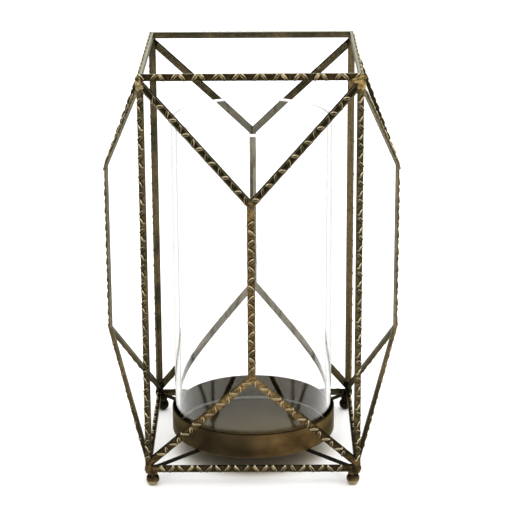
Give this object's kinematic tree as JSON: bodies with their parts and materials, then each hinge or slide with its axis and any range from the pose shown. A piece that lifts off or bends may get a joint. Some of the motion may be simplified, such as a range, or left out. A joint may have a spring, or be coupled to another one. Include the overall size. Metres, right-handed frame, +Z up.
{
  "type": "geometric candle lantern",
  "caption": "Open-topped candle lantern: a faceted cage of hammered bronze flat bar on ball feet, with a round dish that holds a lift-out clear glass cylinder.",
  "frame": {"origin": "on the floor under the centre of the dish, level with the flats of the ball feet", "axes": "+Z up, -Y towards the front, +X to the right seen from the front"},
  "size_m": [0.2828, 0.2828, 0.3961],
  "materials": {
    "hammered_bronze": "antique bronze on hammered steel bar, dark brown with brassy worn high spots, satin",
    "dark_bronze": "dark bronze on plain round rod, satin",
    "dish_bronze": "brown bronze on sheet, satin, with brushed turning marks",
    "clear_glass": "clear polished glass with fire-polished rim"
  },
  "bodies": {
    "cage": {"top_rail_front": "hammered_bronze", "top_rail_right": "hammered_bronze", "top_rail_back": "hammered_bronze", "top_rail_left": "hammered_bronze", "bottom_rail_front": "hammered_bronze", "bottom_rail_right": "hammered_bronze", "bottom_rail_back": "hammered_bronze", "bottom_rail_left": "hammered_bronze", "post_front_right": "hammered_bronze", "post_back_right": "hammered_bronze", "post_back_left": "hammered_bronze", "post_front_left": "hammered_bronze", "front_upright": "hammered_bronze", "front_upper_arm_left": "hammered_bronze", "front_upper_arm_right": "hammered_bronze", "front_lower_arm_left": "hammered_bronze", "front_lower_arm_right": "hammered_bronze", "right_upright": "hammered_bronze", "right_upper_arm_left": "hammered_bronze", "right_upper_arm_right": "hammered_bronze", "right_lower_arm_left": "hammered_bronze", "right_lower_arm_right": "hammered_bronze", "back_upright": "hammered_bronze", "back_upper_arm_left": "hammered_bronze", "back_upper_arm_right": "hammered_bronze", "back_lower_arm_left": "hammered_bronze", "back_lower_arm_right": "hammered_bronze", "left_upright": "hammered_bronze", "left_upper_arm_left": "hammered_bronze", "left_upper_arm_right": "hammered_bronze", "left_lower_arm_left": "hammered_bronze", "left_lower_arm_right": "hammered_bronze", "brace_rod_long": "dark_bronze", "brace_rod_back_right": "dark_bronze", "brace_rod_front_left": "dark_bronze", "foot_front_right": "hammered_bronze", "foot_back_right": "hammered_bronze", "foot_back_left": "hammered_bronze", "foot_front_left": "hammered_bronze", "candle_dish": "dish_bronze"},
    "glass": {"glass_cylinder": "clear_glass"}
  },
  "joints": [
    {"name": "glass_lift", "type": "slide", "parent": "cage", "child": "glass", "axis": [0, 0, 1], "range_m": [0, 0.385]}
  ]
}
